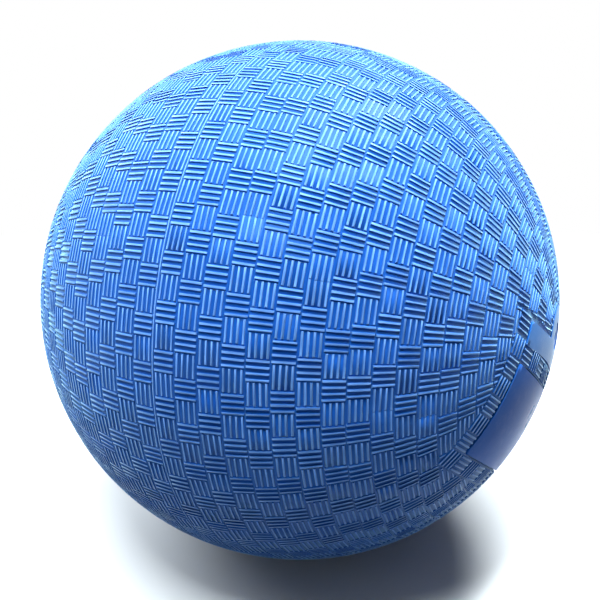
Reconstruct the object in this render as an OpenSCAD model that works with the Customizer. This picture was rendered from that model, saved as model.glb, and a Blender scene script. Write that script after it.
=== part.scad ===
// Rubber dodgeball with a basket-weave grip: moulded cover, nylon winding, bladder and needle valve.
// The mould axis runs along X and through the valve. The parting line is the ring at x = 0.

/* [Cover] */
// Diameter over the rib tops, the smooth pads and the parting bead
ball_d = 216; // [150:1:260]
// Height of a rib above the floor of the pattern
rib_h = 0.45; // [0.3:0.05:0.6]
// Share of the relief that the ribs of a tile fill with rubber
rib_fill_share = 0.4; // [0.2:0.05:0.6]
// Thickness of the cover under the floor of the pattern
cover_wall = 1.3; // [0.8:0.1:3]
// Rings of tiles between the parting line and a pole
ring_count = 22; // [16:1:28]
// Width of the cutter that forms the plain channel between two rings
channel_w = 0.8; // [0.6:0.1:1.2]
// Distance between the two channels that run along the parting bead
seam_channel_w = 1.6; // [1.2:0.1:2.4]
// Width of the parting bead
bead_w = 0.6; // [0.4:0.1:1]

/* [Smooth pads] */
// Width of the print panel
panel_w = 68; // [40:1:90]
// Height of the print panel
panel_h = 36; // [20:1:44]
// Radius of the print panel's corners
panel_corner_r = 1.5; // [0.5:0.5:6]
// Distance over the ball from the valve to the middle of the print panel
panel_reach = 38.6; // [34:0.2:44]
// Height of the plain strip between the valve and the print panel
strip_h = 9; // [6:0.5:10]
// Distance over the ball from the valve to the middle of the plain strip
strip_reach = 7.8; // [6:0.2:9]
// Turn of the pads about the mould axis, in degrees
pad_turn = 31.4; // [0:0.1:90]
// Radius of the round land at the valve
land_r = 12; // [8:0.5:14]
// Radius of the plain disc at the pole opposite the valve
far_disc_r = 7.7; // [5:0.1:12]

/* [Carcass] */
// Thickness of the nylon winding
winding_t = 0.35; // [0.2:0.05:0.8]
// Thickness of the bladder
bladder_wall = 0.7; // [0.5:0.1:2]
// Thickness of the bond line between two layers
bond_t = 0.05; // [0.02:0.01:0.1]

/* [Valve boot] */
// Radius of the collar that comes up through the layers
collar_r = 5; // [4.5:0.1:6.5]
// Depth of the valve's face below the edge of its hole in the land
face_drop = 0.3; // [0.1:0.1:0.8]
// Radius of the flange bonded inside the bladder
flange_r = 13; // [9:0.5:18]
// Thickness of the flange
flange_t = 1; // [0.6:0.1:2]
// Radius of the throat where it leaves the flange
throat_r = 4.6; // [4.2:0.1:6]
// Radius of the throat at its inner end
throat_end_r = 3.9; // [3.4:0.1:4.2]
// Rubber left beyond the plug at the inner end of the throat
throat_floor_t = 1.4; // [0.8:0.1:3]
// Radius of the air hole in that floor
air_hole_r = 1.6; // [1.3:0.1:2.2]

/* [Valve plug] */
// Radius of the plug's head
head_r = 3.4; // [3.1:0.1:4]
// Thickness of the plug's head
head_t = 1.4; // [1:0.1:2.4]
// Radius of the plug's stem
stem_r = 2.4; // [2:0.1:2.7]
// Length of the plug from its face to its nose
plug_len = 14; // [12:0.5:20]
// Radius of the ridge that holds the plug in the throat
ridge_r = 3; // [2.8:0.1:3.2]
// Length of the ridge along the plug
ridge_w = 2.2; // [1.6:0.1:3]
// Depth of the middle of the ridge below the plug's face
ridge_depth = 6.5; // [5:0.1:8]
// Draw-in of the plug's radius at its nose
nose_taper = 0.6; // [0.2:0.1:1]
// Running clearance between the plug and its seat
plug_clear = 0.05; // [0.02:0.01:0.1]
// Radius of the guide hole for the inflating needle
needle_r = 1.15; // [1:0.05:1.4]
// Depth of the guide hole below the plug's face
needle_depth = 8; // [6:0.5:10]
// Radius of the lead-in at the mouth of the guide hole
lead_r = 1.9; // [1.6:0.1:2.4]
// Depth of the lead-in
lead_depth = 0.8; // [0.4:0.1:1.2]
// Width of the self-closing slit from the guide hole to the nose
slit_w = 0.2; // [0.1:0.05:0.3]

/* [Hidden] */
$fn = 144;
fine_fn = 24;
full_turn = 360;
quarter_turn = 90;

ball_r = ball_d / 2;
floor_r = ball_r - rib_h;
field_r = floor_r + rib_h * rib_fill_share;
cover_in_r = floor_r - cover_wall;
winding_out_r = cover_in_r - bond_t;
winding_in_r = winding_out_r - winding_t;
bladder_out_r = winding_in_r - bond_t;
bladder_in_r = bladder_out_r - bladder_wall;
flange_out_r = bladder_in_r - bond_t;
flange_in_r = flange_out_r - flange_t;

// Angle between two ring boundaries, seen from the middle of the ball
ring_pitch = quarter_turn / ring_count;
// The valve's hole, the place of its flat face and what the throat reaches
collar_hole_r = collar_r + bond_t;
face_x = sqrt(pow(ball_r, 2) - pow(collar_hole_r, 2)) - face_drop;
throat_len = plug_len + plug_clear + throat_floor_t;
flange_mid_r = (flange_out_r + flange_in_r) / 2;
// The pads are rooted in the middle of the wall
pad_root_r = (floor_r + cover_in_r) / 2;
// Every cut runs this far past the faces that it opens
overrun = rib_h * 4;

// Angle over the ball that belongs to a distance over its surface
function reach_angle(reach) = reach / (PI * ball_r) * full_turn / 2;

// Half outline of the plug, as [radius, depth below its face], grown by c on the sides and nose
function plug_outline(c, top) = [
    [0, -top],
    [head_r + c, -top],
    [head_r + c, head_t],
    [stem_r + c, head_t],
    [stem_r + c, ridge_depth - ridge_w / 2 - c],
    [ridge_r + c, ridge_depth - ridge_w / 4],
    [ridge_r + c, ridge_depth + ridge_w / 4],
    [stem_r + c, ridge_depth + ridge_w / 2 + c],
    [stem_r + c, plug_len - nose_taper * 2],
    [stem_r - nose_taper + c, plug_len + c],
    [0, plug_len + c]
];

// Turns a shape that was drawn along Z so that it lies along X
module along_x() {
    rotate([0, quarter_turn, 0]) rotate([0, 0, full_turn / 2]) children();
}

// Puts a shape that was drawn along Z, with its top at zero, under the valve's face
module at_valve() {
    translate([face_x, 0, 0]) along_x() children();
}

module ball(r) {
    along_x() sphere(r);
}

module shell(outer_r, inner_r) {
    difference() {
        ball(outer_r);
        ball(inner_r);
    }
}

// The hole that lets the collar through a layer
module collar_hole() {
    along_x() cylinder(h = ball_d, r = collar_hole_r);
}

module rounded_rectangle(size, r) {
    square([size[0], size[1] - 2 * r], center = true);
    square([size[0] - 2 * r, size[1]], center = true);
    for (x = [-1, 1], y = [-1, 1])
        translate([x * (size[0] / 2 - r), y * (size[1] / 2 - r)]) circle(r, $fn = fine_fn * 2);
}

// A post of the given outline that leaves the ball the given distance over its surface from the valve
module pad_post(reach) {
    rotate([-pad_turn, 0, 0]) rotate([0, reach_angle(reach), 0])
        along_x() linear_extrude(ball_d) children();
}

// Smooth pads at rib height: the print panel, the plain strip and the valve's land
module pads() {
    intersection() {
        shell(ball_r, pad_root_r);
        union() {
            pad_post(panel_reach) rounded_rectangle([panel_h, panel_w], panel_corner_r);
            pad_post(strip_reach) rounded_rectangle([strip_h, panel_w], panel_corner_r);
            along_x() cylinder(h = ball_d, r = land_r);
        }
    }
}

// The right half of a drawing, from the far pole at the bottom to the valve at the top
module right_half() {
    intersection() {
        children();
        translate([0, -ball_r]) square([ball_r, ball_d]);
    }
}

// Half section of the skin: rings of tiles at their mean height, the channels between them, and the bead
module skin_section() {
    difference() {
        union() {
            right_half() circle(field_r);
            translate([ball_r - bead_w, -bead_w / 2]) bead_section();
            right_half() intersection() {
                circle(ball_r);
                translate([0, -ball_r]) square([far_disc_r, ball_r]);
            }
        }
        for (k = [2 - ring_count : ring_count - 2])
            if (k != 0)
                rotate(k * ring_pitch) translate([floor_r + channel_w / 2, 0]) circle(channel_w / 2, $fn = fine_fn);
        for (side = [-1, 1])
            translate([floor_r + channel_w / 2, side * seam_channel_w / 2]) circle(channel_w / 2, $fn = fine_fn);
        circle(cover_in_r);
    }
}

// Section of the parting bead: a rib with a round back
module bead_section() {
    square([bead_w / 2, bead_w]);
    translate([bead_w / 2, bead_w / 2]) circle(bead_w / 2, $fn = fine_fn);
}

// Outer skin, moulded in one piece with the bead, the print panel, the strip and the valve's land
module cover() {
    color("dodgerblue") difference() {
        union() {
            along_x() rotate_extrude() skin_section();
            pads();
        }
        collar_hole();
    }
}

// Nylon thread wound round the bladder and bedded in rubber
module winding() {
    color("ivory") difference() {
        shell(winding_out_r, winding_in_r);
        collar_hole();
    }
}

// Airtight inner ball
module bladder() {
    color("dimgray") difference() {
        shell(bladder_out_r, bladder_in_r);
        collar_hole();
    }
}

// Half section of the valve boot, drawn from the middle of the ball
module boot_section() {
    difference() {
        union() {
            translate([0, flange_mid_r]) square([collar_r, face_x - flange_mid_r]);
            intersection() {
                difference() {
                    circle(flange_out_r);
                    circle(flange_in_r);
                }
                square([flange_r, ball_r]);
            }
            polygon([
                [0, face_x - throat_len],
                [throat_end_r, face_x - throat_len],
                [throat_r, flange_mid_r],
                [0, flange_mid_r]
            ]);
        }
        polygon([for (p = plug_outline(plug_clear, overrun)) [p[0], face_x - p[1]]]);
        translate([0, face_x - throat_len - overrun]) square([air_hole_r, throat_floor_t + 2 * overrun]);
    }
}

// Moulded valve body: collar, flange against the bladder and throat that holds the plug
module valve_boot() {
    color("steelblue") along_x() rotate_extrude() boot_section();
}

// Soft plug with the needle's guide hole and the slit that closes behind the needle
module valve_plug() {
    color("lightskyblue") at_valve() difference() {
        rotate_extrude() polygon([for (p = plug_outline(0, 0)) [p[0], -p[1]]]);
        translate([0, 0, -lead_depth]) cylinder(h = lead_depth, r1 = needle_r, r2 = lead_r);
        translate([0, 0, -needle_depth]) cylinder(h = needle_depth, r = needle_r);
        translate([0, 0, -needle_depth - needle_r]) cylinder(h = needle_r, r1 = 0, r2 = needle_r);
        translate([-slit_w / 2, -needle_r, -plug_len - overrun])
            cube([slit_w, 2 * needle_r, plug_len + overrun - needle_depth]);
    }
}

cover();
winding();
bladder();
valve_boot();
valve_plug();
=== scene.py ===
import math

import bmesh
import bpy
import numpy as np
from mathutils import Matrix, Vector


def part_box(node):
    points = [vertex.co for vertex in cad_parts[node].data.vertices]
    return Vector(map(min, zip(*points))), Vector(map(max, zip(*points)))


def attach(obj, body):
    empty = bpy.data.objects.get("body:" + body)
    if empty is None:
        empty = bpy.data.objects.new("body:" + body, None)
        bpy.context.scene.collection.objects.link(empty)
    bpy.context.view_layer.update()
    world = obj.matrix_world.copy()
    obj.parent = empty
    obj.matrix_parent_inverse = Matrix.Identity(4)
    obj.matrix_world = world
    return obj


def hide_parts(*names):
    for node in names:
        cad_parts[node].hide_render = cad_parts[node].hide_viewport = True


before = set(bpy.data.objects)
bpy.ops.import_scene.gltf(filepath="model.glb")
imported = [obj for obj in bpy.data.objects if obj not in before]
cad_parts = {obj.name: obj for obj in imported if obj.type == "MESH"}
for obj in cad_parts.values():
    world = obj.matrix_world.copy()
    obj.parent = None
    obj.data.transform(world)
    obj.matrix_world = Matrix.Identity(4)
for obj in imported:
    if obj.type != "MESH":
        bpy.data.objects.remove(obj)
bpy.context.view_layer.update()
print("frame loaded:", sorted(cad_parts))

mm = 0.001
quarterTurn = math.pi / 2
fullTurn = 2 * math.pi
xAxis = Vector((1, 0, 0))                                # the mould axis, through the valve
flatAxes = (Vector((1, 0, 0)), Vector((0, 1, 0)))        # along a flat sheet and up it
cutReach = 1e-6                                          # a corner this near a cut counts as on it
mergeReach = 2e-6                                        # corners this near each other become one
bondLine = 0.05 * mm                                     # between two layers of the ball
poleSide = 70 * mm                                       # a place farther along the axis is near a pole

ball = {
    "radius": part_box("cover")[1].z,                      # over the rib tops, the pads and the bead
    "inside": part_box("winding")[1].z + bondLine,         # inner face of the cover
    "ribHeight": 0.45 * mm,
    "rings": 22,                                         # rings that fit between the parting line and a pole
    "tilesAtSeam": 87.6,                                 # tiles round the ball at its widest
}
floorRadius = ball["radius"] - ball["ribHeight"]
ringAngle = quarterTurn / ball["rings"]
tilePitch = ringAngle * floorRadius

weave = {
    "ribs": 4,                                           # in a tile
    "ribWidth": 0.82 * mm,                               # at the foot
    "reliefSteps": [                                     # in and up, from a rib's foot to its round back
        (0.09 * mm, 0.27 * mm),
        (0.06 * mm, 0.13 * mm),
        (0.08 * mm, 0.05 * mm),
    ],
    "crossPitch": 0.262,                                 # between ribs that run across the ring, in tiles
    "alongPitch": 0.244,                                 # between ribs that run along the ring, in tiles
    "endGap": 0.02 * mm,                                 # between a rib's end and its tile's border
    "ringGap": 0.19 * mm,                                # plain floor beside a ring's tiles, on each side
    "seamGap": 0.5 * mm,                                 # from the middle of the parting line to a ring
    "crownFrom": 13,                                     # the first ring that needs more cuts to turn
}

# The hand-cut mould lets the ribs stray a little, in waves round the ball
waver = {
    "reach": 0.10 * mm,
    "waves": 37,                                         # round a ring, that lead towards the pole and back
    "shift": 5,                                          # of these waves with the ring's own start
    "sideShare": 1.6,                                    # how far a rib strays along the ring, in reaches
    "sideWaves": 23,                                     # round a ring, that lead along it
    "sideBend": 60,                                      # of these waves with the polar angle
}

pads = {
    "panelSize": (68 * mm, 36 * mm),
    "panelReach": 38.6 * mm,                             # over the ball, from the valve to the middle
    "stripSize": (68 * mm, 9 * mm),
    "stripReach": 7.8 * mm,                              # over the ball, from the valve to the middle
    "corner": 1.5 * mm,                                  # radius at the corners of the panel and the strip
    "cornerSteps": 5,
    "landRadius": 12 * mm,
    "landSteps": 40,
    "holeRadius": 5.05 * mm,                             # of the hole for the valve's collar
    "holeSteps": 48,
    "farDisc": 7.5 * mm,                                 # radius of the plain disc at the far pole
    "farDiscRings": 4,
    "farDiscSteps": 64,
    "turn": math.radians(-31.4),                         # of the pads about the mould axis
    "gap": 0.35 * mm,                                    # plain floor round a pad and round the block
    "facet": 2.6 * mm,                                   # between the cuts that let a pad follow the ball
}

# The tiles that are lined up with the panel: a frame round it and one more at each end of the strip
block = {
    "tilesAlong": 9,                                     # that share the panel's width
    "tilesUp": 5,                                        # that share its height
    "frameWidth": 7.4 * mm,                              # of the frame's tiles, away from the panel
    "stripTileExtra": 1.4 * mm,                          # that the tiles beside the strip are taller
    "endGap": 0.3 * mm,
    "cutSpread": 6 * mm,                                 # how far the cuts run on past the block's corners
}

# How far from its nominal place a corner is still picked
margins = {
    "floor": 0.002 * mm,
    "top": 0.01 * mm,
    "border": 0.1 * mm,
    "blockBorder": 0.5 * mm,
    "holeBorder": 0.6 * mm,
    "channel": 1.5 * weave["ringGap"],                   # from a channel's middle past both its borders
}


def activate(obj):
    bpy.ops.object.select_all(action="DESELECT")
    obj.select_set(True)
    bpy.context.view_layer.objects.active = obj


def startEditing(obj):
    activate(obj)
    bpy.ops.object.mode_set(mode="EDIT")
    bpy.ops.mesh.select_mode(type="VERT")
    bpy.ops.mesh.select_all(action="DESELECT")


def stopEditing():
    bpy.ops.object.mode_set(mode="OBJECT")


def applyPlace(obj):
    activate(obj)
    bpy.ops.object.transform_apply(location=True, rotation=True, scale=True)


def copyOf(obj, name):
    twin = obj.copy()
    twin.data = obj.data.copy()
    twin.name = name
    bpy.context.collection.objects.link(twin)
    return twin


def joinInto(main, others):
    activate(main)
    for other in others:
        other.select_set(True)
    bpy.ops.object.join()
    return main


def pickFaces(obj, wanted):
    bpy.ops.mesh.select_mode(type="FACE")
    bpy.ops.mesh.select_all(action="DESELECT")
    mesh = bmesh.from_edit_mesh(obj.data)
    for face in mesh.faces:
        if wanted(face.calc_center_median()):
            face.select_set(True)
    bmesh.update_edit_mesh(obj.data)


# Selects the open edges whose two ends pass the test
def pickBorder(obj, wanted):
    bpy.ops.mesh.select_mode(type="EDGE")
    bpy.ops.mesh.select_all(action="DESELECT")
    mesh = bmesh.from_edit_mesh(obj.data)
    for edge in mesh.edges:
        if edge.is_boundary and wanted(edge.verts[0].co) and wanted(edge.verts[1].co):
            edge.select_set(True)
    bmesh.update_edit_mesh(obj.data)


def mergeDoubles():
    bpy.ops.mesh.select_all(action="SELECT")
    bpy.ops.mesh.remove_doubles(threshold=mergeReach)


def cutAcross(place, normal):
    bpy.ops.mesh.bisect(plane_co=place, plane_no=normal, threshold=cutReach)


def turnOutwards(piece):
    startEditing(piece)
    bpy.ops.mesh.select_all(action="SELECT")
    bpy.ops.mesh.normals_make_consistent(inside=False)
    stopEditing()


def readPlaces(obj):
    places = np.empty(len(obj.data.vertices) * 3, np.float32)
    obj.data.vertices.foreach_get("co", places)
    return places.reshape(-1, 3).astype(float)


def writePlaces(obj, places):
    obj.data.vertices.foreach_set("co", places.astype(np.float32).ravel())
    obj.data.update()


# An open line, drawn point by point
def drawPath(name, points):
    bpy.ops.mesh.primitive_plane_add(size=mm)
    path = bpy.context.object
    path.name = name
    startEditing(path)
    bpy.ops.mesh.select_all(action="SELECT")
    bpy.ops.mesh.merge(type="CENTER")
    bpy.ops.transform.translate(value=points[0])
    for last, here in zip(points, points[1:]):
        bpy.ops.mesh.extrude_region_move(TRANSFORM_OT_translate={"value": Vector(here) - Vector(last)})
    stopEditing()
    return path


# A closed outline in the plane z = 0
def drawLoop(name, points):
    bpy.ops.mesh.primitive_circle_add(vertices=len(points), radius=mm)
    loop = bpy.context.object
    loop.name = name
    for corner, point in zip(loop.data.vertices, points):
        corner.co = (point[0], point[1], 0)
    return loop


def arcPoint(radius, angle):
    return radius * math.cos(angle), radius * math.sin(angle)


def arcPoints(radius, first, last, steps):
    return [arcPoint(radius, first + (last - first) * i / steps) for i in range(steps + 1)]


# Turns an outline of (place along the mould axis, radius) points about that axis
def spinProfile(name, profile, steps, closed=False):
    body = drawPath(name, [(x, r, 0) for x, r in profile])
    startEditing(body)
    if closed:
        mesh = bmesh.from_edit_mesh(body.data)
        for corner in mesh.verts:
            if len(corner.link_edges) == 1:
                corner.select_set(True)
        bmesh.update_edit_mesh(body.data)
        bpy.ops.mesh.edge_face_add()
    bpy.ops.mesh.select_all(action="SELECT")
    bpy.ops.mesh.spin(steps=steps, angle=fullTurn, center=(0, 0, 0), axis=xAxis)
    mergeDoubles()
    stopEditing()
    return body


# Shades a closed piece smooth, but for edges sharper than the angle, and prints what its mesh is like
def finishPiece(piece, angle):
    activate(piece)
    bpy.ops.object.shade_smooth_by_angle(angle=angle)
    mesh = bmesh.new()
    mesh.from_mesh(piece.data)
    openEdges = sum(e.is_boundary for e in mesh.edges)
    oddEdges = sum(not e.is_manifold for e in mesh.edges) - openEdges
    triangles = sum(len(f.verts) - 2 for f in mesh.faces)
    print(piece.name, "open", openEdges, "odd", oddEdges, "triangles", triangles)
    mesh.free()


# Cuts the sheet's faces between two corners with straight lines across one axis
def cutLines(sheet, low, high, axis, places):
    for place in places:
        pickFaces(sheet, lambda c: low[0] < c.x < high[0] and low[1] < c.y < high[1])
        cutAcross(flatAxes[axis] * place, flatAxes[axis])


# Cuts one tile's ribs into a flat sheet and returns their rectangles. The ribs run along the given axis
def cutTile(sheet, low, high, along, endGap, pitch, ribs=weave["ribs"], parts=1):
    across = 1 - along
    first, last = low[along] + endGap, high[along] - endGap
    cutLines(sheet, low, high, along, [first, last])
    midLow, midHigh = list(low), list(high)
    midLow[along], midHigh[along] = first, last
    middle = (low[across] + high[across]) / 2
    starts = [middle + (i - (ribs - 1) / 2) * pitch - weave["ribWidth"] / 2 for i in range(ribs)]
    cutLines(sheet, midLow, midHigh, across, [s + w for s in starts for w in (0, weave["ribWidth"])])
    cutLines(sheet, midLow, midHigh, along, [first + (last - first) * i / parts for i in range(1, parts)])
    ribBoxes = []
    for start in starts:
        ribLow, ribHigh = list(midLow), list(midHigh)
        ribLow[across], ribHigh[across] = start, start + weave["ribWidth"]
        ribBoxes.append((ribLow, ribHigh))
    return ribBoxes


def raiseSelected():
    for inwards, upwards in weave["reliefSteps"]:
        bpy.ops.mesh.inset(thickness=inwards, depth=upwards)


def raiseRibs(sheet, boxes):
    pickFaces(sheet, lambda c: any(a[0] < c.x < b[0] and a[1] < c.y < b[1] for a, b in boxes))
    raiseSelected()


# A flat pair of tiles: the first with ribs across the ring, the second with ribs along it
def modelPair(height, ribsAlong, parts):
    bpy.ops.mesh.primitive_plane_add(size=1, location=(tilePitch, height / 2, 0))
    pair = bpy.context.object
    pair.scale = (2 * tilePitch, height, 1)
    applyPlace(pair)
    gap = weave["endGap"]
    start, middle, end = (0, 0), (tilePitch, 0), (2 * tilePitch, height)
    startEditing(pair)
    cutLines(pair, start, end, 0, [tilePitch])
    cutLines(pair, start, end, 1, [gap, height - gap])
    ribBoxes = cutTile(pair, start, (tilePitch, height), 1, gap, weave["crossPitch"] * tilePitch)
    ribBoxes += cutTile(pair, middle, end, 0, gap, weave["alongPitch"] * tilePitch, ribsAlong, parts)
    raiseRibs(pair, ribBoxes)
    stopEditing()
    return pair


# Copies the pair along the ring. An odd number of tiles ends in a second tile with ribs along it
def flatRing(pair, tiles):
    ring = copyOf(pair, "ring")
    activate(ring)
    row = ring.modifiers.new("row", "ARRAY")
    row.count = tiles // 2
    row.use_relative_offset = False
    row.use_constant_offset = True
    row.constant_offset_displace = (2 * tilePitch, 0, 0)
    row.use_merge_vertices = True
    row.merge_threshold = mergeReach
    bpy.ops.object.modifier_apply(modifier=row.name)
    if tiles % 2:
        startEditing(ring)
        pickFaces(ring, lambda c: c.x > (tiles - 2) * tilePitch)
        bpy.ops.mesh.duplicate_move(TRANSFORM_OT_translate={"value": (tilePitch, 0, 0)})
        mergeDoubles()
        stopEditing()
    return ring


# Wraps a flat ring round the ball. Its bottom edge goes to the first of its two polar angles
def wrapRing(ring, shape, start, side):
    flat = readPlaces(ring)
    turn = start + flat[:, 0] / tilePitch * fullTurn / shape["tiles"]
    polar = shape["from"] + flat[:, 1] / shape["height"] * (shape["to"] - shape["from"])
    inside = np.sin(math.pi * flat[:, 1] / shape["height"])
    stray = waver["reach"] / floorRadius
    polar = polar + stray * inside * np.sin(waver["waves"] * turn + waver["shift"] * start)
    sideWave = waver["sideWaves"] * turn + waver["sideBend"] * polar * inside
    turn = turn + waver["sideShare"] * stray * np.sin(sideWave)
    reach = floorRadius + flat[:, 2]
    x = side * reach * np.cos(polar)
    y = reach * np.sin(polar) * np.cos(turn)
    z = reach * np.sin(polar) * np.sin(turn)
    writePlaces(ring, np.stack([x, y, z], 1))
    startEditing(ring)
    mergeDoubles()
    stopEditing()


def polarAngle(place, side):
    return math.acos(max(-1, min(1, side * place.x / place.length)))


# Middle of a crosswise tile near the front, in degrees down the photo, and 1 where the ring has an odd tile
valveRings = {
    1: (-3.1, 0), 2: (-7.0, 0), 3: (-10.2, 0), 4: (-6.2, 1), 5: (-4.3, 0), 6: (-8.7, 0), 7: (3.0, 1),
    8: (-2.9, 0), 9: (-4.6, 0), 10: (28.9, 1), 11: (-2.1, 0), 12: (33.5, 1), 13: (-11, 0), 14: (-3, 0),
    15: (-9, 0), 16: (-1, 0), 17: (-14, 1), 18: (-6, 0), 19: (-18, 0), 20: (-4, 0), 21: (-12, 0),
}
farRings = {
    1: (-8.8, 0), 2: (-4.8, 0), 3: (-2.2, 0), 4: (-0.1, 1), 5: (-5.5, 0), 6: (-8, 0), 7: (-3, 0),
    8: (-6, 1), 9: (-2, 0), 10: (-7, 0), 11: (-4, 0), 12: (-9, 0), 13: (-1, 0), 14: (-7, 0),
    15: (-12, 0), 16: (-5, 1), 17: (-10, 0), 18: (-2, 0), 19: (-14, 0), 20: (-8, 0), 21: (-3, 0),
}
frontTurn = math.radians(161)                            # about the mould axis, to the side the photo shows

# Ribs along the ring in a pair's second tile, and the parts that each is cut into so that it can turn
pairStyles = {
    "belt": (weave["ribs"], 1),
    "crown": (weave["ribs"], 2),
    "short": (1, 3),                                     # beside the valve's land
}
masters = {}                                             # the flat pair of each style


# A ring's polar angles, the height and style of its flat tiles, and how many they are
def ringShape(k, odd, side):
    widest = ball["tilesAtSeam"] / 2
    shape = {
        "from": quarterTurn - (k - 1) * ringAngle - weave["ringGap"] / floorRadius,
        "to": quarterTurn - k * ringAngle + weave["ringGap"] / floorRadius,
        "height": tilePitch - 2 * weave["ringGap"],
        "style": "belt" if k < weave["crownFrom"] else "crown",
        "tiles": 2 * round(widest * math.sin(quarterTurn - (k - 0.5) * ringAngle)) + odd,
    }
    if k == 1:
        shape["from"] = quarterTurn - weave["seamGap"] / floorRadius
    if k == ball["rings"] - 1 and side > 0:
        shape["to"] = math.asin((pads["landRadius"] + pads["gap"]) / ball["radius"])
        shape["height"] = (shape["from"] - shape["to"]) * floorRadius
        shape["style"] = "short"
    return shape


# All rings of one half, bridged across the plain channels between them
def modelRings(name, ringStarts, side):
    rings = []
    for k, (middle, odd) in ringStarts.items():
        shape = ringShape(k, odd, side)
        style = shape["style"]
        if style not in masters:
            masters[style] = modelPair(shape["height"], *pairStyles[style])
        ring = flatRing(masters[style], shape["tiles"])
        halfTile = fullTurn / shape["tiles"] / 2
        wrapRing(ring, shape, frontTurn + math.radians(middle) - halfTile, side)
        rings.append(ring)
    half = joinInto(rings[0], rings[1:])
    half.name = name
    half.data.name = name
    startEditing(half)
    for k in list(ringStarts)[:-1]:
        border = quarterTurn - k * ringAngle
        pickBorder(half, lambda c: abs(polarAngle(c, side) - border) < margins["channel"] / floorRadius)
        bpy.ops.mesh.bridge_edge_loops()
    stopEditing()
    print(name, "has", len(half.data.polygons), "faces in its rings")
    return half


valveHalf = modelRings("coverValveHalf", valveRings, 1)
farHalf = modelRings("coverFarHalf", farRings, -1)
for master in masters.values():
    bpy.data.objects.remove(master)
print("rings wrapped")


# A frame for flat work that is later laid on the ball: right, up and outwards
def padFrame(reach):
    tilt = reach / ball["radius"]
    right = Vector((0, math.cos(pads["turn"]), math.sin(pads["turn"])))
    level = Vector((0, -math.sin(pads["turn"]), math.cos(pads["turn"])))
    up = math.cos(tilt) * level + math.sin(tilt) * xAxis
    outwards = math.cos(tilt) * xAxis - math.sin(tilt) * level
    return right, up, outwards


panelAxes = padFrame(pads["panelReach"])
poleAxes = padFrame(0)
intoPanelFrame = Matrix([list(axis) for axis in panelAxes])
panelHalf = (pads["panelSize"][0] / 2, pads["panelSize"][1] / 2)
columnIn = panelHalf[0] + pads["gap"]                    # flat edges of the tiles round the panel
columnOut = columnIn + block["frameWidth"]
rowIn = panelHalf[1] + pads["gap"]
rowOut = rowIn + block["frameWidth"]
stripTileOut = rowOut + tilePitch + block["stripTileExtra"]
blockSide = columnOut + pads["gap"]                      # edges of the opening in the rings for the block
blockBottom = -rowOut - pads["gap"]
blockTop = stripTileOut + pads["gap"]
stripMiddle = -ball["radius"] * math.sin(pads["stripReach"] / ball["radius"])
stripLow = stripMiddle - pads["stripSize"][1] / 2        # the strip's edges, looking along the mould axis
stripTop = stripMiddle + pads["stripSize"][1] / 2


# Lays flat work on the ball, looking along the frame, so its walls stay parallel
def layOnBall(flatWork, axes):
    flat = readPlaces(flatWork)
    reach = floorRadius + flat[:, 2]
    depth = np.sqrt(reach ** 2 - flat[:, 0] ** 2 - flat[:, 1] ** 2)
    laid = np.stack([flat[:, 0], flat[:, 1], depth], 1)
    writePlaces(flatWork, laid @ np.array([list(axis) for axis in axes]))


def roundedOutline(left, bottom, right, top):
    radius = pads["corner"]
    points = []
    for corner, (x, y) in enumerate(((right, top), (left, top), (left, bottom), (right, bottom))):
        middleX = x - math.copysign(radius, x - (left + right) / 2)
        middleY = y - math.copysign(radius, y - (bottom + top) / 2)
        arc = arcPoints(radius, quarterTurn * corner, quarterTurn * (corner + 1), pads["cornerSteps"])
        points += [(middleX + dx, middleY + dy) for dx, dy in arc]
    return points


# The strip's outline, with the land's arc in the middle of its top edge
def crownOutline():
    half = pads["stripSize"][0] / 2
    corners = roundedOutline(-half, stripLow, half, stripTop)
    perCorner = pads["cornerSteps"] + 1
    leaves = math.asin(stripTop / pads["landRadius"])
    arc = arcPoints(pads["landRadius"], leaves, math.pi - leaves, pads["landSteps"])
    return corners[:perCorner] + arc + corners[perCorner:]


# Material slots that smooth moulding gets at the end. The ribs have slot 0
smoothSlots = {
    "panel": 1,
    "plain": 2,
}


# Marks smooth moulding with its slot, so that it is found again in the joined half
def markSmooth(obj, kind):
    mark = obj.data.attributes.new("smoothFinish", "FLOAT", "POINT")
    mark.data.foreach_set("value", [float(smoothSlots[kind])] * len(obj.data.vertices))


# A smooth raised pad with rounded edges, modelled flat and cut so that it can follow the ball
def modelPad(name, outline, hole, axes):
    pad = drawLoop(name, outline)
    if hole:
        joinInto(pad, [drawLoop("hole", hole)])
    startEditing(pad)
    bpy.ops.mesh.select_all(action="SELECT")
    bpy.ops.mesh.fill(use_beauty=True)
    bpy.ops.mesh.normals_make_consistent(inside=False)
    if bmesh.from_edit_mesh(pad.data).faces[:][0].normal.z < 0:
        bpy.ops.mesh.flip_normals()
    raiseSelected()
    for axis, normal in enumerate(flatAxes):
        low = min(point[axis] for point in outline)
        high = max(point[axis] for point in outline)
        cuts = round((high - low) / pads["facet"])
        for i in range(1, cuts):
            pickFaces(pad, lambda c: c.z > ball["ribHeight"] - margins["top"])
            cutAcross(normal * (low + (high - low) * i / cuts), normal)
    stopEditing()
    layOnBall(pad, axes)
    return pad


def modelPanel():
    outline = roundedOutline(-panelHalf[0], -panelHalf[1], *panelHalf)
    panel = modelPad("panel", outline, None, panelAxes)
    markSmooth(panel, "panel")
    return panel


# The strip and the land round the valve, which are one pad
def modelCrown():
    hole = arcPoints(pads["holeRadius"], 0, fullTurn, pads["holeSteps"])[:-1]
    crown = modelPad("crown", crownOutline(), hole, poleAxes)
    markSmooth(crown, "plain")
    return crown


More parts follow.
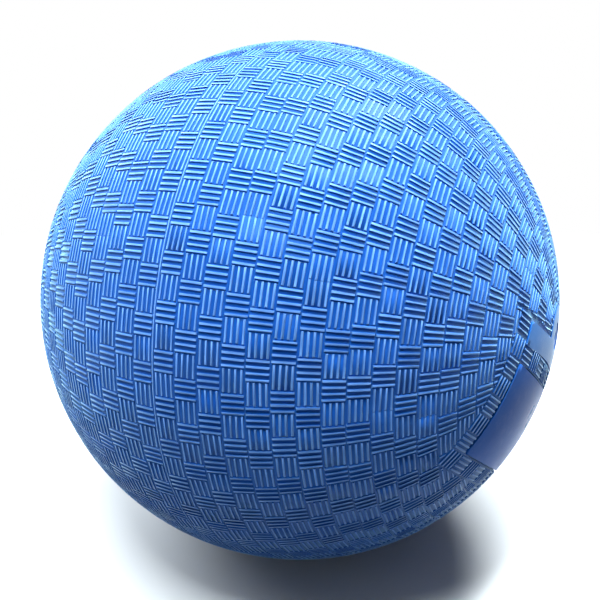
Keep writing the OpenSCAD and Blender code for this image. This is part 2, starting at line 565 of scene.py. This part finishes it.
# The block's tiles, modelled on one flat sheet with an opening for the panel
def modelBlockTiles():
    bpy.ops.mesh.primitive_plane_add(size=1, location=(0, (stripTileOut - rowOut) / 2, 0))
    sheet = bpy.context.object
    sheet.name = "panelTiles"
    sheet.scale = (2 * columnOut, rowOut + stripTileOut, 1)
    applyPlace(sheet)
    everything = ((-columnOut, -rowOut), (columnOut, stripTileOut))
    startEditing(sheet)
    cutLines(sheet, *everything, 0, [-columnIn, columnIn])
    cutLines(sheet, *everything, 1, [-rowIn, rowIn, rowOut])
    pickFaces(sheet, lambda c: abs(c.x) < columnIn and (abs(c.y) < rowIn or c.y > rowOut))
    bpy.ops.mesh.delete(type="FACE")
    along, up = block["tilesAlong"], block["tilesUp"]
    columns = [-columnOut] + [-columnIn + 2 * columnIn * i / along for i in range(along + 1)] + [columnOut]
    rows = [-rowOut] + [-rowIn + 2 * rowIn * i / up for i in range(up + 1)] + [rowOut, stripTileOut]
    cutLines(sheet, *everything, 0, columns[2:-2])
    cutLines(sheet, *everything, 1, rows[2:-3])
    ribBoxes = []
    for c in range(len(columns) - 1):
        for r in range(len(rows) - 1):
            if c in (0, along + 1) or r in (0, up + 1):
                low, high = (columns[c], rows[r]), (columns[c + 1], rows[r + 1])
                ribAxis = 1 - (c + r) % 2
                pitch = min(high[1 - ribAxis] - low[1 - ribAxis], tilePitch) / weave["ribs"]
                ribBoxes += cutTile(sheet, low, high, ribAxis, block["endGap"], pitch)
    raiseRibs(sheet, ribBoxes)
    stopEditing()
    layOnBall(sheet, panelAxes)
    return sheet


def nearBlock(place, spread):
    flat = intoPanelFrame @ place
    inHeight = blockBottom - spread < flat.y < blockTop + spread
    return flat.z > 0 and abs(flat.x) < blockSide + spread and inHeight


def besidePanel(place):
    flat = intoPanelFrame @ place
    return abs(flat.x) < columnIn + margins["border"] and abs(flat.y) < rowIn + margins["border"]


def fromAxis(place):
    return math.hypot(place.y, place.z)


# Cuts the rings away where the panel's block lies, and closes the ribs that the cut opened
def clearBlock(half):
    startEditing(half)
    right, up = panelAxes[:2]
    for place, normal in ((blockSide, right), (-blockSide, right), (blockTop, up), (blockBottom, up)):
        pickFaces(half, lambda c: nearBlock(c, block["cutSpread"]))
        cutAcross(normal * place, normal)
    pickFaces(half, lambda c: nearBlock(c, 0))
    bpy.ops.mesh.delete(type="FACE")
    bpy.ops.mesh.select_mode(type="VERT")
    bpy.ops.mesh.select_all(action="SELECT")
    bpy.ops.mesh.delete_loose()
    pickBorder(half, lambda c: nearBlock(c, margins["blockBorder"]))
    mesh = bmesh.from_edit_mesh(half.data)
    onFloor = floorRadius + margins["floor"]
    for edge in mesh.edges:
        if edge.select and edge.verts[0].co.length < onFloor and edge.verts[1].co.length < onFloor:
            edge.select_set(False)
    bmesh.update_edit_mesh(half.data)
    bpy.ops.mesh.extrude_edges_move()
    mesh = bmesh.from_edit_mesh(half.data)
    for corner in mesh.verts:
        if corner.select:
            corner.co = corner.co.normalized() * floorRadius
    bmesh.update_edit_mesh(half.data)
    mergeDoubles()
    stopEditing()


# Fills the plain floor between the open borders that pass the test
def fillFloor(obj, wanted):
    startEditing(obj)
    pickBorder(obj, wanted)
    bpy.ops.mesh.fill(use_beauty=True)
    stopEditing()


clearBlock(valveHalf)
blockTiles = modelBlockTiles()
joinInto(blockTiles, [modelPanel()])
fillFloor(blockTiles, besidePanel)
joinInto(valveHalf, [blockTiles, modelCrown()])
fillFloor(valveHalf, lambda c: c.x > poleSide and fromAxis(c) > pads["holeRadius"] + margins["border"])
print("panel, strip and land set in")

rim = {
    "beadHalf": 0.3 * mm,                                # half the width of the parting bead
    "backDrop": 0.02 * mm,                               # of the bead's round back under the rib tops
    "backSteps": 6,
    "linerRings": 24,                                    # from the parting line to a pole
    "steps": 176,                                        # round the mould axis, and twice these in the bead
    "smoothAngle": math.radians(50),
}


# Inner wall of a half and its rim at the parting line, spun about the mould axis
def modelLiner(side, poleRadius):
    edge = math.acos(rim["beadHalf"] / ball["inside"])
    profile = [(rim["beadHalf"], math.sqrt(floorRadius ** 2 - rim["beadHalf"] ** 2))]
    profile += arcPoints(ball["inside"], edge, math.asin(poleRadius / ball["inside"]), rim["linerRings"])
    return spinProfile("liner", [(side * x, r) for x, r in profile], rim["steps"])


# Joins the liner on and bridges it to the rings at the parting line and round the valve's hole
def closeHalf(half, side, poleRadius):
    joinInto(half, [modelLiner(side, poleRadius)])
    startEditing(half)
    pickBorder(half, lambda c: abs(c.x) < weave["seamGap"] + margins["border"])
    bpy.ops.mesh.bridge_edge_loops()
    if poleRadius:
        pickBorder(half, lambda c: abs(c.x) > poleSide and fromAxis(c) < poleRadius + margins["holeBorder"])
        bpy.ops.mesh.bridge_edge_loops()
    stopEditing()
    turnOutwards(half)
    finishPiece(half, rim["smoothAngle"])


# Plain disc at the far pole
def modelFarDisc():
    angle = math.asin(pads["farDisc"] / floorRadius)
    reach = floorRadius
    profile = [arcPoint(reach, angle)]
    for inwards, upwards in weave["reliefSteps"]:
        angle -= inwards / floorRadius
        reach += upwards
        profile.append(arcPoint(reach, angle))
    profile += arcPoints(ball["radius"], angle, 0, pads["farDiscRings"])[1:]
    disc = spinProfile("farDisc", [(-x, r) for x, r in profile], pads["farDiscSteps"])
    markSmooth(disc, "plain")
    return disc


# Bead that the mould leaves along the parting line
def modelBead():
    half = rim["beadHalf"]
    backRadius = ball["radius"] - rim["backDrop"] - half
    back = arcPoints(half, math.pi, 0, rim["backSteps"])
    profile = [(-half, ball["inside"])] + [(x, backRadius + r) for x, r in back] + [(half, ball["inside"])]
    bead = spinProfile("partingBead", profile, rim["steps"] * 2, closed=True)
    turnOutwards(bead)
    finishPiece(bead, rim["smoothAngle"])
    return bead


joinInto(farHalf, [modelFarDisc()])
startEditing(farHalf)
pickBorder(farHalf, lambda c: c.x < -poleSide)
bpy.ops.mesh.bridge_edge_loops()
stopEditing()
closeHalf(farHalf, -1, 0)
closeHalf(valveHalf, 1, pads["holeRadius"])
bead = modelBead()
print("cover closed")

valve = {
    "face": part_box("valve_boot")[1].x,
    "bootEnd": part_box("valve_boot")[0].x,
    "plugNose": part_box("valve_plug")[0].x,
    "collar": pads["holeRadius"] - bondLine,
    "flange": 13 * mm,
    "bladderWall": 0.7 * mm,
    "flangeThickness": 1 * mm,
    "flangeSteps": 4,
    "throat": 4.6 * mm,
    "throatEnd": 3.9 * mm,
    "airHole": 1.6 * mm,
    "head": 3.4 * mm,
    "headDepth": 1.4 * mm,
    "stem": 2.4 * mm,
    "ridge": 3 * mm,
    "ridgeDepth": 6.5 * mm,
    "ridgeWidth": 2.2 * mm,
    "noseTaper": 0.6 * mm,
    "clearance": 0.05 * mm,
    "needle": 1.15 * mm,
    "needleDepth": 8 * mm,
    "leadIn": 1.9 * mm,
    "leadDepth": 0.8 * mm,
    "bootEdge": 0.1 * mm,                                # rounding of the moulded edges
    "plugEdge": 0.07 * mm,
    "edgeSteps": 3,
    "edgeAngle": math.radians(40),                       # edges sharper than this are rounded
    "smoothAngle": math.radians(35),
    "steps": 72,
}


# Outline of the plug from its face to its nose, grown by the clearance for its seat in the boot
def plugOutline(grow):
    v = valve
    ridgeTop = v["ridgeDepth"] - v["ridgeWidth"] / 2
    ridgeEnd = v["ridgeDepth"] + v["ridgeWidth"] / 2
    length = v["face"] - v["plugNose"]
    outline = [
        (0, v["head"]), (v["headDepth"], v["head"]), (v["headDepth"], v["stem"]),
        (ridgeTop, v["stem"]), (ridgeTop + v["ridgeWidth"] / 4, v["ridge"]),
        (ridgeEnd - v["ridgeWidth"] / 4, v["ridge"]), (ridgeEnd, v["stem"]),
        (length - 2 * v["noseTaper"], v["stem"]), (length + grow, v["stem"] - v["noseTaper"]),
    ]
    return [(v["face"] - depth, r + grow) for depth, r in outline]


def roundEdges(piece, width):
    turnOutwards(piece)
    activate(piece)
    bevel = piece.modifiers.new("edges", "BEVEL")
    bevel.width = width
    bevel.segments = valve["edgeSteps"]
    bevel.limit_method = "ANGLE"
    bevel.angle_limit = valve["edgeAngle"]
    bpy.ops.object.modifier_apply(modifier=bevel.name)
    startEditing(piece)
    mergeDoubles()
    stopEditing()
    turnOutwards(piece)


def modelBoot():
    v = valve
    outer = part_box("bladder")[1].z - v["bladderWall"] - bondLine
    inner = outer - v["flangeThickness"]
    outerEnds = (math.asin(v["collar"] / outer), math.asin(v["flange"] / outer))
    innerEnds = (math.asin(v["flange"] / inner), math.asin(v["throat"] / inner))
    profile = [(v["face"], v["collar"])]
    profile += arcPoints(outer, *outerEnds, v["flangeSteps"])
    profile += arcPoints(inner, *innerEnds, v["flangeSteps"])
    profile += [(v["bootEnd"], v["throatEnd"]), (v["bootEnd"], v["airHole"])]
    seat = plugOutline(v["clearance"])
    profile += [(seat[-1][0], v["airHole"])] + seat[::-1]
    boot = spinProfile("valveBoot", profile, v["steps"], closed=True)
    roundEdges(boot, v["bootEdge"])
    finishPiece(boot, v["smoothAngle"])
    return boot


def modelPlug():
    v = valve
    outline = plugOutline(0)
    floor = v["face"] - v["needleDepth"]
    profile = [(v["plugNose"], 0)] + outline[::-1]
    profile += [(v["face"], v["leadIn"]), (v["face"] - v["leadDepth"], v["needle"])]
    profile += [(floor, v["needle"]), (floor - v["needle"], 0)]
    plug = spinProfile("valvePlug", profile, v["steps"])
    roundEdges(plug, v["plugEdge"])
    finishPiece(plug, v["smoothAngle"])
    return plug


boot = modelBoot()
plug = modelPlug()
print("valve spun")

# Materials
white = (1.0, 1.0, 1.0)
mixColourSockets = (6, 7)                                # of a Mix node's many inputs, the two colours
mixColourOut = 2                                         # of its outputs, the mixed colour


def newMaterial(name):
    material = bpy.data.materials.new(name)
    material.use_nodes = True
    tree = material.node_tree
    shader = tree.nodes["Principled BSDF"]
    return material, tree, shader


def addNode(tree, kind, **settings):
    node = tree.nodes.new(kind)
    for key, value in settings.items():
        if isinstance(value, (int, float, tuple)) and key in node.inputs:
            node.inputs[key].default_value = value
        else:
            setattr(node, key, value)
    return node


# Puts a number or a colour on a socket, or links another node's output to it
def feed(tree, socket, value):
    if isinstance(value, (int, float, tuple)):
        socket.default_value = value
    else:
        tree.links.new(value, socket)


def objectPlace(tree):
    return addNode(tree, "ShaderNodeTexCoord").outputs["Object"]


def distance(tree, place):
    node = addNode(tree, "ShaderNodeVectorMath", operation="LENGTH")
    feed(tree, node.inputs[0], place)
    return node.outputs["Value"]


def noise(tree, place, scale, detail, rough=0.55):
    node = addNode(tree, "ShaderNodeTexNoise", Scale=scale, Detail=detail, Roughness=rough)
    feed(tree, node.inputs["Vector"], place)
    return node.outputs["Fac"]


def ramp(tree, value, stops):
    node = addNode(tree, "ShaderNodeValToRGB")
    while len(node.color_ramp.elements) < len(stops):
        node.color_ramp.elements.new(0.5)
    for element, (place, colour) in zip(node.color_ramp.elements, stops):
        element.position = place
        element.color = (*colour, 1)
    feed(tree, node.inputs["Fac"], value)
    return node.outputs["Color"]


def mapRange(tree, value, inRange, outRange):
    node = addNode(tree, "ShaderNodeMapRange")
    for name, number in zip(("From Min", "From Max", "To Min", "To Max"), (*inRange, *outRange)):
        node.inputs[name].default_value = number
    feed(tree, node.inputs["Value"], value)
    return node.outputs["Result"]


def maths(tree, operation, first, second):
    node = addNode(tree, "ShaderNodeMath", operation=operation)
    feed(tree, node.inputs[0], first)
    feed(tree, node.inputs[1], second)
    return node.outputs["Value"]


def mixColour(tree, how, amount, first, second):
    node = addNode(tree, "ShaderNodeMix", data_type="RGBA", blend_type=how)
    feed(tree, node.inputs["Factor"], amount)
    for socket, colour in zip(mixColourSockets, (first, second)):
        feed(tree, node.inputs[socket], colour)
    return node.outputs[mixColourOut]


def bumpFrom(tree, height, strength, reach, below=None):
    node = addNode(tree, "ShaderNodeBump", Strength=strength, Distance=reach)
    feed(tree, node.inputs["Height"], height)
    if below:
        feed(tree, node.inputs["Normal"], below)
    return node.outputs["Normal"]


# A noise is given as its scale, its detail and, where it isn't the usual one, its roughness.
# A bump is given as its strength and its height
rubber = {
    # The valley and wall tones are painted shade: the relief's hollows are drawn darker than its tops
    "valleyShade": (0.004, 0.080, 0.410),
    "wall": (0.011, 0.122, 0.520),
    "toneDepths": (0.03, 0.60, 0.95),                    # in the relief, where the painted shade of the valley and the wall gives way to the top's tone
    "clouds": (28, 4),
    "cloudRange": (0.3, 0.7),
    "cloudShade": (0.86, 0.89, 0.93),
    "cloudAmount": 0.8,
    "cloudDullness": (-0.04, 0.05),                      # added to the roughness
    "roughness": (0.45, 0.30),                           # in the valleys and on the crests
    "bloom": (0.42, 0.62, 0.92),                         # of scuffed rubber
    "scuffs": (240, 5, 0.65),
    "scuffRange": (0.50, 0.72),
    "scuffDepth": 0.8,                                   # in the relief, where scuffs start
    "grain": (5200, 2),
    "grainBump": (0.18, 0.06 * mm),
    "ripple": (420, 3),
    "rippleBump": (0.25, 0.08 * mm),
    "shineTint": (0.44, 0.86, 1.0),
    "hazeTint": (0.46, 0.85, 1.0),
    "hazeRoughness": 0.45,
}
# On the ribs the crest tone is a painted highlight, lighter than the rubber itself, in place of the gloss on
# their tops
ribFinish = {
    "crest": (0.165, 0.365, 0.870),
    "scuffs": 0.2,
    "shine": 0.14,
    "haze": 0.8,
}
panelFinish = {
    "crest": (0.034, 0.175, 0.700),
    "scuffs": 0.06,
    "shine": 0.018,
    "haze": 0.04,
}
plainFinish = {
    "crest": (0.040, 0.210, 0.680),
    "scuffs": 0.08,
    "shine": 0.06,
    "haze": 0.12,
}


# Rubber whose colour follows its depth in the relief: painted shade in the valleys and on the walls, rising
# to the finish's tone on top, which on the ribs is a painted highlight
def coverRubber(name, finish):
    material, tree, shader = newMaterial(name)
    place = objectPlace(tree)
    depth = mapRange(tree, distance(tree, place), (floorRadius, ball["radius"]), (0, 1))
    # Painted shade and highlight: darker down in the relief, lighter on the crests
    tones = (rubber["valleyShade"], rubber["wall"], finish["crest"])
    tone = ramp(tree, depth, list(zip(rubber["toneDepths"], tones)))
    clouds = noise(tree, place, *rubber["clouds"])
    shade = ramp(tree, clouds, list(zip(rubber["cloudRange"], (rubber["cloudShade"], white))))
    tone = mixColour(tree, "MULTIPLY", rubber["cloudAmount"], tone, shade)
    scuffs = mapRange(tree, noise(tree, place, *rubber["scuffs"]), rubber["scuffRange"], (0, 1))
    onTop = mapRange(tree, depth, (rubber["scuffDepth"], 1), (0, finish["scuffs"]))
    tone = mixColour(tree, "MIX", maths(tree, "MULTIPLY", scuffs, onTop), tone, (*rubber["bloom"], 1))
    feed(tree, shader.inputs["Base Color"], tone)
    roughness = mapRange(tree, depth, (0, 1), rubber["roughness"])
    dullness = mapRange(tree, clouds, rubber["cloudRange"], rubber["cloudDullness"])
    feed(tree, shader.inputs["Roughness"], maths(tree, "ADD", roughness, dullness))
    grain = bumpFrom(tree, noise(tree, place, *rubber["grain"]), *rubber["grainBump"])
    ripple = bumpFrom(tree, noise(tree, place, *rubber["ripple"]), *rubber["rippleBump"], grain)
    feed(tree, shader.inputs["Normal"], ripple)
    feed(tree, shader.inputs["Specular IOR Level"], finish["shine"])
    feed(tree, shader.inputs["Specular Tint"], (*rubber["shineTint"], 1))
    feed(tree, shader.inputs["Sheen Weight"], finish["haze"])
    feed(tree, shader.inputs["Sheen Roughness"], rubber["hazeRoughness"])
    feed(tree, shader.inputs["Sheen Tint"], (*rubber["hazeTint"], 1))
    return material


softRubber = {
    "clouds": (900, 4),
    "cloudRange": (0.3, 0.7),
    "cloudDullness": 0.12,                               # added to the roughness in the dark parts
    "specks": (4200, 2),
    "speckRange": (0.62, 0.75),
    "speckAmount": 0.35,
    "grain": (6000, 2),
    "grainBump": (0.2, 0.05 * mm),
}
bootFinish = {
    "light": (0.030, 0.200, 0.70),
    "dark": (0.015, 0.120, 0.50),
    "roughness": 0.46,
}
plugFinish = {
    "light": (0.055, 0.260, 0.78),
    "dark": (0.025, 0.150, 0.55),
    "roughness": 0.40,
}


# Softer moulding of the valve, a little cloudy, with dark specks from handling
def valveRubber(name, finish):
    material, tree, shader = newMaterial(name)
    place = objectPlace(tree)
    clouds = noise(tree, place, *softRubber["clouds"])
    tone = ramp(tree, clouds, list(zip(softRubber["cloudRange"], (finish["dark"], finish["light"]))))
    speckNoise = noise(tree, place, *softRubber["specks"])
    specks = mapRange(tree, speckNoise, softRubber["speckRange"], (0, softRubber["speckAmount"]))
    feed(tree, shader.inputs["Base Color"], mixColour(tree, "MIX", specks, tone, (*finish["dark"], 1)))
    roughness = (finish["roughness"] + softRubber["cloudDullness"], finish["roughness"])
    feed(tree, shader.inputs["Roughness"], mapRange(tree, clouds, softRubber["cloudRange"], roughness))
    grain = bumpFrom(tree, noise(tree, place, *softRubber["grain"]), *softRubber["grainBump"])
    feed(tree, shader.inputs["Normal"], grain)
    return material


nylon = {
    "layers": [(0.3, 0.5, 0), (1.2, -0.4, 0.7), (-0.8, 0.9, 1.6), (0.5, 1.7, -0.9)],   # how each is turned
    "scale": 420.0,
    "distortion": 1.2,
    "detail": 1.0,
    "tones": [                                           # of the rubber, the threads' sides and their backs
        (0.55, (0.22, 0.19, 0.15)),
        (0.8, (0.74, 0.70, 0.60)),
        (1.0, (0.90, 0.87, 0.80)),
    ],
    "heightRange": (0.5, 1.0),
    "roughness": (0.75, 0.45),
    "bump": (0.6, 0.2 * mm),
}


# Nylon thread wound in crossing directions and bedded in rubber
def windingNylon():
    material, tree, shader = newMaterial("windingNylon")
    place = objectPlace(tree)
    height = 0
    for turn in nylon["layers"]:
        turned = addNode(tree, "ShaderNodeMapping", Rotation=turn)
        feed(tree, turned.inputs["Vector"], place)
        threads = addNode(tree, "ShaderNodeTexWave", Scale=nylon["scale"], Distortion=nylon["distortion"],
                          Detail=nylon["detail"])
        feed(tree, threads.inputs["Vector"], turned.outputs["Vector"])
        height = maths(tree, "MAXIMUM", height, threads.outputs["Fac"])
    feed(tree, shader.inputs["Base Color"], ramp(tree, height, nylon["tones"]))
    feed(tree, shader.inputs["Roughness"], mapRange(tree, height, nylon["heightRange"], nylon["roughness"]))
    feed(tree, shader.inputs["Normal"], bumpFrom(tree, height, *nylon["bump"]))
    return material


butyl = {
    "black": (0.018, 0.018, 0.020),
    "talc": (0.34, 0.34, 0.33),
    "talcNoise": (90, 6, 0.7),
    "talcRange": (0.45, 0.7),
    "talcAmount": 0.5,
    "roughness": (0.38, 0.8),                            # bare, and under the most talc
    "grain": (1500, 3),
    "grainBump": (0.3, 0.1 * mm),
}


# Black butyl dusted with talc
def bladderButyl():
    material, tree, shader = newMaterial("bladderButyl")
    place = objectPlace(tree)
    dust = (0, butyl["talcAmount"])
    talc = mapRange(tree, noise(tree, place, *butyl["talcNoise"]), butyl["talcRange"], dust)
    tone = mixColour(tree, "MIX", talc, (*butyl["black"], 1), (*butyl["talc"], 1))
    feed(tree, shader.inputs["Base Color"], tone)
    feed(tree, shader.inputs["Roughness"], mapRange(tree, talc, dust, butyl["roughness"]))
    grain = bumpFrom(tree, noise(tree, place, *butyl["grain"]), *butyl["grainBump"])
    feed(tree, shader.inputs["Normal"], grain)
    return material


def wear(obj, material):
    obj.data.materials.clear()
    obj.data.materials.append(material)


# Gives the faces of marked smooth moulding their own materials, in the order of their slots
def wearOnSmooth(obj, materials):
    marks = obj.data.attributes["smoothFinish"].data
    for material in materials:
        obj.data.materials.append(material)
    for face in obj.data.polygons:
        face.material_index = round(min(marks[v].value for v in face.vertices))


coverMaterial = coverRubber("coverRubber", ribFinish)
for piece in (valveHalf, farHalf, bead):
    wear(piece, coverMaterial)
    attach(piece, "root")
    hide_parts("cover")
smoothMaterials = [coverRubber("panelRubber", panelFinish), coverRubber("plainRubber", plainFinish)]
wearOnSmooth(valveHalf, smoothMaterials)
wearOnSmooth(farHalf, smoothMaterials)
wear(boot, valveRubber("bootRubber", bootFinish))
wear(plug, valveRubber("plugRubber", plugFinish))
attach(boot, "root")
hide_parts("valve_boot")
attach(plug, "root")
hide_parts("valve_plug")
wear(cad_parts["winding"], windingNylon())
wear(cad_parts["bladder"], bladderButyl())
for name in ("cover", "valve_boot", "valve_plug"):
    wear(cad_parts[name], coverMaterial)
print("materials worn")

# Stage, light and camera
stage = {
    "floorHalf": 4.0,
    "floorCells": 8,
    "floorTone": (0.90, 0.90, 0.91),
    "floorRoughness": 0.9,
    "fadeRange": (0.12, 0.75),                           # from the middle of the floor, where it turns white
    "bounce": (0.07, 0.07, 0.08),                        # the tone with which the floor lights the ball
    "ambient": (0.80, 0.90, 1.0),
    "ambientLevel": 0.008,
}

photo = {
    "towards": Vector((0.408, -0.863, 0.297)),           # from the ball to the camera
    "distance": 3 * ball["radius"],
    "lens": 44.1,
    "clipStart": 0.01,
}

# Softboxes: the place to the right of the ball, above it and towards the camera, in metres, then the size,
# the power and the colour
lamps = {
    "key": ((0.12, 0.83, 0.36), (1.2, 0.20), 36.0, (0.90, 0.98, 1.0)),
    "upperLeft": ((-0.62, 0.72, -0.05), (0.9, 0.9), 12.0, (0.90, 0.98, 1.0)),
    "left": ((-0.93, -0.15, 0.12), (0.5, 0.8), 2.0, (0.86, 0.97, 1.0)),
    "right": ((0.95, 0.20, 0.05), (0.5, 0.8), 0.45, (0.86, 0.97, 1.0)),
}


# Is 1 for what the camera sees straight, in gloss or through clear pieces
def seenWhite(tree):
    path = addNode(tree, "ShaderNodeLightPath")
    seen = maths(tree, "MAXIMUM", path.outputs["Is Camera Ray"], path.outputs["Is Transmission Ray"])
    return maths(tree, "MAXIMUM", seen, path.outputs["Is Glossy Ray"])


# Pale floor that keeps the ball's shadow and fades to white farther out
def setFloor():
    size = 2 * stage["floorHalf"]
    cells = stage["floorCells"]
    place = (0, 0, -ball["radius"])
    bpy.ops.mesh.primitive_grid_add(x_subdivisions=cells, y_subdivisions=cells, size=size, location=place)
    floor = bpy.context.object
    floor.name = "floor"
    applyPlace(floor)
    material, tree, shader = newMaterial("paleFloor")
    seen = seenWhite(tree)
    tone = mixColour(tree, "MIX", seen, (*stage["bounce"], 1), (*stage["floorTone"], 1))
    feed(tree, shader.inputs["Base Color"], tone)
    feed(tree, shader.inputs["Roughness"], stage["floorRoughness"])
    fade = mapRange(tree, distance(tree, objectPlace(tree)), stage["fadeRange"], (0, 1))
    glow = addNode(tree, "ShaderNodeEmission", Color=(*white, 1.0))
    mix = addNode(tree, "ShaderNodeMixShader")
    feed(tree, mix.inputs["Fac"], maths(tree, "MULTIPLY", fade, seen))
    feed(tree, mix.inputs[1], shader.outputs["BSDF"])
    feed(tree, mix.inputs[2], glow.outputs["Emission"])
    feed(tree, tree.nodes["Material Output"].inputs["Surface"], mix.outputs["Shader"])
    wear(floor, material)


# A faint blue light from all round, behind which the camera sees white
def setWorld():
    world = bpy.data.worlds.new("studio")
    bpy.context.scene.world = world
    world.use_nodes = True
    tree = world.node_tree
    soft = tree.nodes["Background"]
    feed(tree, soft.inputs["Color"], (*stage["ambient"], 1))
    feed(tree, soft.inputs["Strength"], stage["ambientLevel"])
    backdrop = addNode(tree, "ShaderNodeBackground", Color=(*white, 1.0))
    mix = addNode(tree, "ShaderNodeMixShader")
    feed(tree, mix.inputs["Fac"], seenWhite(tree))
    feed(tree, mix.inputs[1], soft.outputs["Background"])
    feed(tree, mix.inputs[2], backdrop.outputs["Background"])
    feed(tree, tree.nodes["World Output"].inputs["Surface"], mix.outputs["Shader"])


def aimAtBall(obj):
    obj.rotation_euler = (-obj.location).to_track_quat("-Z", "Y").to_euler()


def setCamera():
    camera = bpy.data.objects.new("camera", bpy.data.cameras.new("camera"))
    bpy.context.scene.collection.objects.link(camera)
    camera.location = photo["towards"].normalized() * photo["distance"]
    aimAtBall(camera)
    camera.data.lens = photo["lens"]
    camera.data.clip_start = photo["clipStart"]
    bpy.context.scene.camera = camera
    return camera


# Hangs the softboxes round the camera's line of sight
def setLamps(camera):
    turn = camera.rotation_euler.to_matrix()
    for name, (place, size, power, colour) in lamps.items():
        lamp = bpy.data.objects.new(name, bpy.data.lights.new(name, "AREA"))
        bpy.context.scene.collection.objects.link(lamp)
        lamp.location = turn @ Vector(place)
        aimAtBall(lamp)
        lamp.data.shape = "RECTANGLE"
        lamp.data.size, lamp.data.size_y = size
        lamp.data.energy = power
        lamp.data.color = colour


setFloor()
setWorld()
setLamps(setCamera())
bpy.context.scene.view_settings.view_transform = "Standard"
print("stage set")
